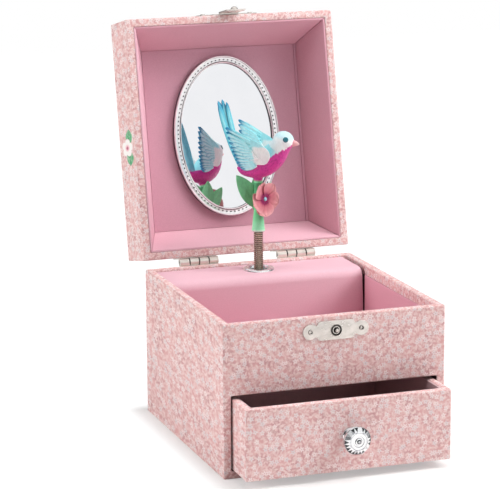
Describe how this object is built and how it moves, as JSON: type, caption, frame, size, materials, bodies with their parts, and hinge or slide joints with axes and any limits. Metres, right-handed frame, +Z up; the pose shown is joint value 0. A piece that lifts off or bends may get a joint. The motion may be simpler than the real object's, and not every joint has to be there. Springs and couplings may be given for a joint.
{
  "type": "musical jewellery box",
  "caption": "Paper-covered musical jewellery box with a hinged mirror lid, a knobbed drawer and a bird figure that turns on a coil spring and folds as the lid shuts.",
  "frame": {"origin": "centre of the flat underside of the case, where it rests on a table", "axes": "+Z up, -Y out of the front where the drawer opens, +X to the right seen from the front"},
  "size_m": [0.12, 0.2243, 0.2187],
  "materials": {
    "printed_paper_board": "matte small-flowered paper on board",
    "plain_board": "bare grey board",
    "lining_paper": "matte pink paper",
    "drawer_lining_paper": "matte dusky pink paper",
    "nickel_plate": "bright nickel plate",
    "wooden_pins": "bare wood",
    "mirror_glass": "silvered glass",
    "silver_frame": "metallised silver plastic",
    "cut_crystal": "faceted, metallised",
    "steel": "plain steel",
    "brass": "plain brass",
    "zinc_casting": "cast grey metal",
    "stem_green": "satin green paint on moulded resin",
    "blossom_pink": "satin pink paint on moulded resin",
    "bird_blue": "satin blue and magenta paint on moulded resin"
  },
  "bodies": {
    "case": {"left_side": "printed_paper_board", "right_side": "printed_paper_board", "back_panel": "printed_paper_board", "front_panel": "printed_paper_board", "bottom_board": "printed_paper_board", "compartment_floor": "plain_board", "chamber_partition": "plain_board", "movement_cover": "lining_paper", "compartment_lining": "lining_paper", "spindle_grommet": "nickel_plate", "clasp_plate": "nickel_plate", "clasp_nails": "nickel_plate", "hinge_case_leaves": "nickel_plate", "hinge_pins": "nickel_plate", "hinge_case_nails": "nickel_plate", "drawer_stop_pins": "wooden_pins", "movement_bedplate": "zinc_casting", "movement_screws": "steel", "music_comb": "steel", "comb_screws": "steel", "top_bridge": "steel", "governor_bracket": "steel"},
    "lid": {"lid_top": "printed_paper_board", "lid_left": "printed_paper_board", "lid_right": "printed_paper_board", "lid_front": "printed_paper_board", "lid_back": "printed_paper_board", "lid_inner_panel": "lining_paper", "lid_lining_left": "lining_paper", "lid_lining_right": "lining_paper", "lid_lining_front": "lining_paper", "lid_lining_back": "lining_paper", "mirror_glass": "mirror_glass", "mirror_frame": "silver_frame", "lid_clasp": "nickel_plate", "lid_clasp_nails": "nickel_plate", "hinge_lid_leaves": "nickel_plate", "hinge_lid_nails": "nickel_plate"},
    "drawer": {"drawer_front": "printed_paper_board", "drawer_left": "printed_paper_board", "drawer_right": "printed_paper_board", "drawer_back": "printed_paper_board", "drawer_bottom": "printed_paper_board", "drawer_lining": "drawer_lining_paper", "knob_base": "nickel_plate", "knob_crystal": "cut_crystal", "knob_screw": "steel"},
    "spring_fold": {"figure_spring": "steel"},
    "figure": {"flower_stem": "stem_green", "blossom": "blossom_pink", "bird": "bird_blue"},
    "cylinder": {"cylinder_arbor": "steel", "pinned_cylinder": "brass", "cylinder_gear": "brass"},
    "barrel": {"spring_barrel": "brass", "mainspring": "steel"},
    "winder": {"winding_arbor": "steel", "winding_key": "nickel_plate"},
    "governor_wheel": {"governor_wheel": "brass"},
    "governor_fan": {"governor_fan": "brass"}
  },
  "joints": [
    {"name": "lid_hinge", "type": "hinge", "parent": "case", "child": "lid", "pos_m": [0, 0.0685, 0.0815], "axis": [1, 0, 0], "range_deg": [0, 102]},
    {"name": "drawer_slide", "type": "slide", "parent": "case", "child": "drawer", "axis": [0, -1, 0], "range_m": [-0.02, 0.05]},
    {"name": "figure_fold", "type": "hinge", "parent": "case", "child": "spring_fold", "pos_m": [0, 0.05, 0.0894], "axis": [1, 0, 0], "range_deg": [0, 102], "deforming": ["figure_spring"]},
    {"name": "figure_spin", "type": "hinge", "parent": "spring_fold", "child": "figure", "pos_m": [0, 0.05, 0.1], "axis": [0, 0, 1], "continuous": true},
    {"name": "cylinder_spin", "type": "hinge", "parent": "case", "child": "cylinder", "pos_m": [0, 0.05, 0.05], "axis": [0, 0, 1], "continuous": true},
    {"name": "barrel_spin", "type": "hinge", "parent": "case", "child": "barrel", "pos_m": [0, 0.055, 0.026], "axis": [0, 1, 0], "continuous": true},
    {"name": "key_turn", "type": "hinge", "parent": "case", "child": "winder", "pos_m": [0, 0.06, 0.026], "axis": [0, 1, 0], "range_deg": [0, 1800]},
    {"name": "governor_wheel_spin", "type": "hinge", "parent": "case", "child": "governor_wheel", "pos_m": [-0.009, 0.05, 0.066], "axis": [0, 0, 1], "continuous": true},
    {"name": "governor_fan_spin", "type": "hinge", "parent": "case", "child": "governor_fan", "pos_m": [-0.0142, 0.05, 0.0669], "axis": [0, 1, 0], "continuous": true}
  ],
  "couplings": [
    {"joint": "figure_fold", "follows": "lid_hinge", "ratio": 1},
    {"joint": "figure_spin", "follows": "cylinder_spin", "ratio": 1},
    {"joint": "barrel_spin", "follows": "cylinder_spin", "ratio": -0.2381},
    {"joint": "governor_wheel_spin", "follows": "cylinder_spin", "ratio": -4},
    {"joint": "governor_fan_spin", "follows": "cylinder_spin", "ratio": -80}
  ]
}
